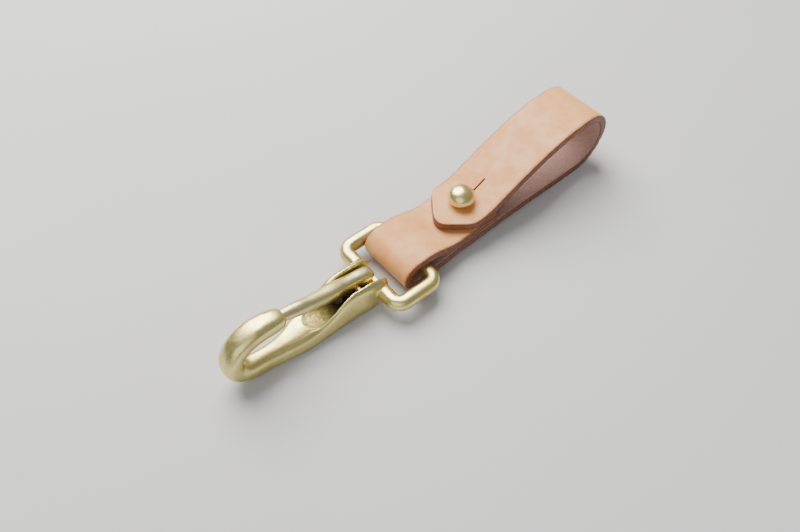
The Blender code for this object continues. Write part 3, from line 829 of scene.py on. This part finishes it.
def dress_leather(obj, strip, direction):
    """Keep the strip's own coordinates for the material and give the faces a lived-in swell."""
    tidy_faces(obj, 40)
    along, across, through = strip.coordinates(obj)
    own = np.column_stack((along * direction, across, through))
    set_values(obj, "strap_place", 'FLOAT_VECTOR', own)
    half = STRAP_WIDTH / 2
    rim = fade(np.abs(across), half - RIM_INNER, half - RIM_OUTER)
    end = fade(along, strip.length - RIM_INNER, strip.length - RIM_OUTER)
    rim = np.maximum(rim, end * END_RIM)
    past_seam = fade(along, 0, SEAM_FADE)
    vertices = obj.data.vertices
    normals = [vertex.normal.copy() for vertex in vertices]
    for vertex, normal, (a, c, n), edge, keep in zip(vertices, normals, own, rim, past_seam):
        slow = noise.noise(Vector((a * 0.11, c * 0.13, n * 0.15 + 3)))
        quick = noise.noise(Vector((a * 0.9, c * 0.35, n * 0.9)))
        nick = max(0.0, noise.noise(Vector((a * 1.7, c * 0.2, n * 1.3 + 5))) - NICK_LEAST)
        swell = slow * SWELL_HEIGHT + float(edge) * (quick * RIPPLE_HEIGHT - nick * NICK_DEPTH)
        vertex.co += normal * float(keep) * swell * MM


def seam_edges_sharp(obj, strip):
    """Keep the seam's hidden face out of the shading of the surface round it."""
    along = strip.coordinates(obj)[0]
    for edge in obj.data.edges:
        if all(along[i] < SEAM_REACH for i in edge.vertices):
            edge.use_edge_sharp = True


def make_strap_base():
    half = STRAP_WIDTH / 2
    corners = (
        (RETURN_END_X - END_SIDE, half), (RETURN_END_X, half),
        (RETURN_END_X, -half), (RETURN_END_X - END_SIDE, -half),
    )
    strip = Strip(base_path(), 1)
    strap = strip.solid("strap_lower", corners, END_ROUND, SQUARE_ZONE)
    hole_place = strap_place(STUD_X, 0, (LOWER_RUN_Z + RETURN_Z) / 2)
    hole = rod("stud_hole", STUD_HOLE_RADIUS, STRAP_HOLE_LENGTH, hole_place, 'Z')
    seat_place = strap_place(STUD_X, 0, FLANGE_LOW_Z - SEAT_DEPTH + SEAT_HEIGHT / 2)
    seat = rod("flange_seat", FLANGE_RADIUS + SEAT_CLEARANCE, SEAT_HEIGHT, seat_place, 'Z')
    combine(strap, [hole, seat], 'DIFFERENCE')
    dress_leather(strap, strip, -1)
    seam_edges_sharp(strap, strip)
    return strap


def make_strap_flap():
    half = STRAP_WIDTH / 2
    point_x = TIP_X - TIP_TRIM
    corners = (
        (TIP_CORNER_FAR_X + TIP_SIDE, half), (TIP_CORNER_FAR_X, half),
        (point_x, TIP_Y + TIP_HALF_FLAT), (point_x, TIP_Y - TIP_HALF_FLAT),
        (TIP_CORNER_NEAR_X, -half), (TIP_CORNER_NEAR_X + TIP_SIDE, -half),
    )
    strip = Strip(flap_path(), -1)
    strap = strip.solid("strap_loop", corners, TIP_ROUND, TIP_ZONE)
    hole_place = strap_place(STUD_X, 0, FLAP_Z)
    hole = rod("button_hole", STUD_HOLE_RADIUS, BUTTON_HOLE_LENGTH, hole_place, 'Z')
    slit = block(
        "slit", (STUD_X, -SLIT_WIDTH / 2, SLIT_LOW_Z), (SLIT_END_X, SLIT_WIDTH / 2, SLIT_TOP_Z),
        strap_place,
    )
    combine(strap, [hole, slit], 'DIFFERENCE')
    dress_leather(strap, strip, 1)
    seam_edges_sharp(strap, strip)
    return strap


# ---------------------------------------------------------------- materials

class Graph:
    """A material's node tree. Each call adds one node and returns its output."""

    def __init__(self, name):
        self.material = bpy.data.materials.new(name)
        self.material.use_nodes = True
        self.tree = self.material.node_tree
        self.shader = self.tree.nodes["Principled BSDF"]

    def feed(self, socket, value):
        if isinstance(value, bpy.types.NodeSocket):
            self.tree.links.new(value, socket)
        else:
            socket.default_value = value

    def node(self, kind, inputs, output=0, **settings):
        node = self.tree.nodes.new("ShaderNode" + kind)
        for key, value in settings.items():
            setattr(node, key, value)
        for key, value in inputs.items():
            self.feed(node.inputs[key], value)
        return node.outputs[output]

    def surface(self, **inputs):
        for key, value in inputs.items():
            self.feed(self.shader.inputs[key.replace("_", " ")], value)

    def attribute(self, name, output):
        return self.node("Attribute", {}, output, attribute_name=name)

    def object_place(self):
        return self.node("TexCoord", {}, "Object")

    def stretch(self, vector, scale):
        return self.node("Mapping", {"Vector": vector, "Scale": scale})

    def noise(self, vector, scale, detail, roughness, distortion=0.0):
        inputs = {
            "Vector": vector, "Scale": scale, "Detail": detail,
            "Roughness": roughness, "Distortion": distortion,
        }
        return self.node("TexNoise", inputs)

    def cells(self, vector, scale):
        return self.node("TexVoronoi", {"Vector": vector, "Scale": scale})

    def ramp(self, value, low, high, out_low=0.0, out_high=1.0):
        """The value between low and high, spread smoothly over out_low to out_high."""
        inputs = {
            "Value": value, "From Min": low, "From Max": high,
            "To Min": out_low, "To Max": out_high,
        }
        return self.node("MapRange", inputs, interpolation_type='SMOOTHSTEP')

    def math(self, operation, a, b=0.0):
        return self.node("Math", {0: a, 1: b}, operation=operation)

    def mix(self, factor, a, b):
        return self.node("Mix", {0: factor, 6: a, 7: b}, 2, data_type='RGBA')

    def bump(self, height, distance):
        return self.node("Bump", {"Height": height, "Distance": distance, "Strength": 1.0})


BRASS_BRIGHT = (0.86, 0.76, 0.36, 1)
BRASS_BASE = (0.74, 0.63, 0.25, 1)
BRASS_TARNISH = (0.42, 0.31, 0.09, 1)
BRASS_CAST_SKIN = (0.66, 0.56, 0.20, 1)
# Near-black for the cavity: partly grime, partly painted shade under the gate
GRIME_AND_SHADE = (0.045, 0.032, 0.016, 1)
GATE_BASE, GATE_BRIGHT = (0.68, 0.60, 0.29, 1), (0.80, 0.72, 0.40, 1)
TURNED_BASE, TURNED_BRIGHT = (0.80, 0.66, 0.26, 1), (0.88, 0.76, 0.36, 1)
# The hinge pin's dark brown is painted shade: it shows only through the gaps beside the gate
SHADED_PIN_BASE, SHADED_PIN_BRIGHT = (0.22, 0.16, 0.07, 1), (0.30, 0.23, 0.11, 1)
# The spring's near-black steel is painted shade of the cavity it sits in; the rust spots are its
# own colour
SHADED_STEEL, RUST = (0.09, 0.087, 0.082, 1), (0.20, 0.13, 0.08, 1)

# How deep a full step of a material's height is, in metres
BRASS_RELIEF, STEEL_RELIEF, LEATHER_RELIEF, TABLE_RELIEF = 0.00012, 0.00003, 0.00016, 0.00002


def brass(name, roughness, tarnish, grain, base=BRASS_BASE, bright=BRASS_BRIGHT):
    """Brass handled until its edges shine: cloudy tarnish, fine scratches and small pits."""
    g = Graph(name)
    place = g.object_place()
    clouds = g.noise(place, 130, 5, 0.6, 0.6)
    fine = g.noise(place, 1400, 3, 0.6)
    scratches = g.noise(g.stretch(place, (300, 2600, 2600)), 1.0, 2, 0.5)
    pits = g.cells(place, 900)
    edges = g.ramp(g.node("NewGeometry", {}, "Pointiness"), 0.505, 0.56)
    hollows = g.ramp(g.node("NewGeometry", {}, "Pointiness"), 0.497, 0.45)
    skin = g.attribute("as_cast", "Fac")
    grime_and_shade = g.attribute("grime_and_shade", "Fac")

    cloudy = g.math('MULTIPLY', g.ramp(clouds, 0.35, 0.75), tarnish)
    colour = g.mix(cloudy, base, BRASS_TARNISH)
    colour = g.mix(g.math('MULTIPLY', edges, 0.8), colour, bright)
    colour = g.mix(g.math('MULTIPLY', hollows, 0.7), colour, BRASS_TARNISH)
    mottled = g.mix(g.ramp(fine, 0.35, 0.65), BRASS_CAST_SKIN, BRASS_TARNISH)
    colour = g.mix(g.math('MULTIPLY', skin, 0.75), colour, mottled)
    # The cavity darkened towards near-black: partly grime, partly painted shade under the gate
    colour = g.mix(g.math('MULTIPLY', grime_and_shade, 0.93), colour, GRIME_AND_SHADE)

    rough = g.ramp(clouds, 0.3, 0.75, roughness - 0.05, roughness + 0.12)
    rough = g.math('ADD', rough, g.ramp(scratches, 0.45, 0.7, 0.0, 0.08))
    rough = g.math('SUBTRACT', rough, g.math('MULTIPLY', edges, 0.08))
    rough = g.math('ADD', rough, g.math('MULTIPLY', skin, 0.2))
    rough = g.math('ADD', rough, g.math('MULTIPLY', grime_and_shade, 0.2))

    dents = g.noise(place, 420, 2, 0.5)
    height = g.math('ADD', g.math('MULTIPLY', dents, 0.7), g.math('MULTIPLY', fine, 0.15))
    pitted = g.math('MULTIPLY', g.ramp(pits, 0.0, 0.18), 0.06)
    height = g.math('ADD', height, pitted)
    height = g.math('ADD', height, g.math('MULTIPLY', scratches, 0.05))
    rocky = g.math('MULTIPLY', g.math('MULTIPLY', g.noise(place, 700, 5, 0.7), skin), 1.2)
    normal = g.bump(g.math('ADD', height, rocky), BRASS_RELIEF * grain)
    g.surface(Base_Color=colour, Metallic=1.0, Roughness=rough, Normal=normal)
    return g.material


def spring_steel():
    g = Graph("drawn_steel")
    place = g.object_place()
    drawn = g.noise(place, 2200, 3, 0.6)
    rust = g.ramp(g.noise(place, 500, 4, 0.6), 0.5, 0.75, 0.0, 0.5)
    # The steel's near-black is painted shade of the cavity under the gate
    colour = g.mix(rust, SHADED_STEEL, RUST)
    g.surface(
        Base_Color=colour, Metallic=1.0, Roughness=g.ramp(drawn, 0.3, 0.7, 0.25, 0.45),
        Normal=g.bump(drawn, STEEL_RELIEF),
    )
    return g.material


GRAIN_PALE = (0.72, 0.355, 0.125, 1)
GRAIN_WARM = (0.66, 0.27, 0.08, 1)
GRAIN_ROSY = (0.70, 0.335, 0.14, 1)
GRAIN_BURNT = (0.36, 0.09, 0.02, 1)
EDGE_BROWN = (0.10, 0.024, 0.009, 1)
EDGE_LIGHT = (0.27, 0.080, 0.028, 1)
FLESH_PALE = (0.47, 0.29, 0.235, 1)
FLESH_DARK = (0.34, 0.185, 0.145, 1)
SHEEN_TINT = (0.95, 0.86, 0.80, 1)


def leather():
    """Vegetable-tanned leather: pale grain side, fibrous back and brown dressed edges."""
    g = Graph("veg_tan_leather")
    own = g.attribute("strap_place", "Vector")
    parts = g.tree.nodes.new("ShaderNodeSeparateXYZ")
    g.feed(parts.inputs[0], own)
    across, through = parts.outputs[1:]
    wide = g.math('ABSOLUTE', across)

    clouds = g.noise(own, 0.16, 4, 0.55, 0.4)
    blotches = g.noise(own, 0.55, 3, 0.6, 0.3)
    pores = g.cells(own, 3.6)
    creases = g.noise(g.stretch(own, (1.6, 3.4, 2.0)), 1.0, 5, 0.65, 0.5)
    hair = g.noise(own, 9.0, 2, 0.6)

    colour = g.mix(g.ramp(clouds, 0.35, 0.65), GRAIN_PALE, GRAIN_WARM)
    colour = g.mix(g.ramp(blotches, 0.45, 0.75, 0.0, 0.6), colour, GRAIN_ROSY)
    colour = g.mix(g.ramp(creases, 0.30, 0.48, 0.22, 0.0), colour, GRAIN_WARM)
    colour = g.mix(g.ramp(pores, 0.20, 0.02, 0.0, 0.20), colour, GRAIN_BURNT)
    specks = g.math('MULTIPLY', g.ramp(g.cells(own, 0.22), 0.045, 0.02), 0.7)
    colour = g.mix(specks, colour, EDGE_LIGHT)
    frayed = g.noise(g.stretch(own, (2.6, 0.8, 1.4)), 1.0, 4, 0.7)
    band = g.math('ADD', wide, g.ramp(frayed, 0.3, 0.7, -0.3, 0.3))
    colour = g.mix(g.ramp(band, 8.6, 9.5, 0.0, 0.22), colour, GRAIN_BURNT)
    colour = g.mix(g.ramp(band, 9.35, 9.75, 0.0, 0.75), colour, EDGE_LIGHT)

    fibres = g.noise(g.stretch(own, (1.2, 1.2, 6.0)), 1.0, 5, 0.7, 1.0)
    flesh = g.mix(g.ramp(fibres, 0.25, 0.75), FLESH_PALE, FLESH_DARK)
    back = g.ramp(through, -0.6, -1.3)
    colour = g.mix(back, colour, flesh)

    layers = g.noise(g.stretch(own, (0.5, 0.5, 3.4)), 1.0, 5, 0.7, 0.6)
    brown = g.mix(g.ramp(layers, 0.35, 0.68), EDGE_BROWN, EDGE_LIGHT)
    depth = g.math('ADD', g.math('ABSOLUTE', through), g.ramp(frayed, 0.3, 0.7, -0.12, 0.12))
    side = g.math('SUBTRACT', 1.0, g.ramp(depth, 1.30, 1.52))
    colour = g.mix(side, colour, brown)

    rough = g.ramp(clouds, 0.3, 0.7, 0.40, 0.52)
    rough = g.math('ADD', rough, g.math('MULTIPLY', back, 0.28))
    rough = g.math('ADD', rough, g.ramp(hair, 0.3, 0.7, -0.03, 0.05))

    grain = g.math('ADD', g.math('MULTIPLY', creases, 0.6), g.ramp(pores, 0.0, 0.22, 0.0, 0.22))
    grain = g.math('ADD', grain, g.math('MULTIPLY', hair, 0.10))
    rough_back = g.math('MULTIPLY', g.math('ADD', fibres, g.math('MULTIPLY', hair, 0.4)), 1.6)
    height = g.node("Mix", {0: back, 2: grain, 3: rough_back}, 0, data_type='FLOAT')
    height = g.math('ADD', height, g.math('MULTIPLY', layers, side))
    normal = g.bump(height, LEATHER_RELIEF)
    g.surface(Base_Color=colour, Roughness=rough, Normal=normal)
    g.surface(Specular_IOR_Level=0.45, Sheen_Weight=0.12, Sheen_Roughness=0.45)
    g.surface(Sheen_Tint=SHEEN_TINT)
    return g.material


# ---------------------------------------------------------------- floor, lights, camera

CAMERA_PLACE = (-0.097987, -0.100754, 0.190231)
CAMERA_AZIMUTH, CAMERA_DOWN, CAMERA_ROLL = 49.49, 54.94, 1.05
CAMERA_LENS = 32.2
CLIP_START, CLIP_END = 0.01, 20
FLOOR_HALF, FLOOR_DROP = 1.5, 0.00005
TABLE_DARK, TABLE_LIGHT = (0.52, 0.515, 0.51, 1), (0.55, 0.545, 0.54, 1)
WORLD_COLOUR, WORLD_STRENGTH = (0.93, 0.96, 1.0, 1), 0.33

# Soft lights, all aimed at the frame's zero: place, width, power and colour
KEY_LIGHT = (0.07, 0.37, 0.50), 0.60, 12.5, (1.0, 0.985, 0.96)
FILL_LIGHT = (-0.45, -0.30, 0.40), 0.70, 1.6, (0.95, 0.97, 1.0)


def turn(degrees, axis):
    return Matrix.Rotation(math.radians(degrees), 4, axis)


def make_camera():
    camera = bpy.data.cameras.new("camera")
    camera.lens = CAMERA_LENS
    camera.clip_start = CLIP_START
    camera.clip_end = CLIP_END
    obj = link("camera", camera)
    aim = turn(CAMERA_AZIMUTH - 90, 'Z') @ turn(90 - CAMERA_DOWN, 'X') @ turn(CAMERA_ROLL, 'Z')
    obj.matrix_world = Matrix.Translation(CAMERA_PLACE) @ aim
    bpy.context.scene.camera = obj


def make_softbox(name, place, size, power, colour):
    light = bpy.data.lights.new(name, 'AREA')
    light.shape = 'DISK'
    light.size = size
    light.energy = power
    light.color = colour
    obj = link(name, light)
    aim = (-Vector(place)).to_track_quat('-Z', 'Y').to_matrix().to_4x4()
    obj.matrix_world = Matrix.Translation(place) @ aim


def make_floor():
    """A pale matt table top, just under the part."""
    shape = bmesh.new()
    bmesh.ops.create_grid(shape, x_segments=2, y_segments=2, size=FLOOR_HALF)
    bmesh.ops.translate(shape, verts=shape.verts, vec=(0, 0, -FLOOR_DROP))
    floor = finish_mesh("floor", shape)
    g = Graph("pale_table")
    place = g.object_place()
    clouds = g.noise(place, 4, 3, 0.5)
    colour = g.mix(g.ramp(clouds, 0.3, 0.7), TABLE_DARK, TABLE_LIGHT)
    g.surface(Base_Color=colour, Roughness=0.75, Specular_IOR_Level=0.2)
    g.surface(Normal=g.bump(g.noise(place, 900, 2, 0.5), TABLE_RELIEF))
    floor.data.materials.append(g.material)


def make_world():
    world = bpy.data.worlds.new("studio")
    world.use_nodes = True
    background = world.node_tree.nodes["Background"]
    background.inputs["Color"].default_value = WORLD_COLOUR
    background.inputs["Strength"].default_value = WORLD_STRENGTH
    bpy.context.scene.world = world


# ---------------------------------------------------------------- assembly

def show(piece, material, body, node):
    """Give a piece its material and its body, and hide the plain node it stands for."""
    piece.data.materials.clear()
    piece.data.materials.append(material)
    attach(piece, body)
    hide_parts(node)


make_camera()
make_world()
make_floor()
make_softbox("key", *KEY_LIGHT)
make_softbox("fill", *FILL_LIGHT)

cast_brass = brass("cast_brass", 0.30, 0.45, 1.0)
gate_brass = brass("gate_brass", 0.33, 0.35, 0.6, GATE_BASE, GATE_BRIGHT)
turned_brass = brass("turned_brass", 0.27, 0.18, 0.25, TURNED_BASE, TURNED_BRIGHT)
# Dark brass for the hinge pin, as painted shade between the gate and the walls
pin_brass = brass("pin_brass", 0.42, 0.8, 0.6, SHADED_PIN_BASE, SHADED_PIN_BRIGHT)
steel = spring_steel()
hide = leather()

show(make_hook(), cast_brass, "hook", "hook_body")
show(make_gate(), gate_brass, "gate", "gate")
show(make_stud(), turned_brass, "strap", "stud_post")
show(make_screw(), turned_brass, "strap", "stud_screw")
show(make_strap_base(), hide, "strap", "strap_base")

loop = make_strap_flap()
loop.data.materials.append(hide)
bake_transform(loop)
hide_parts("strap_flap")

spring = make_spring()
spring.data.materials.append(steel)
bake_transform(spring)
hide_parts("gate_spring")

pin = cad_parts["gate_pin"]
pin.data.materials.clear()
pin.data.materials.append(pin_brass)
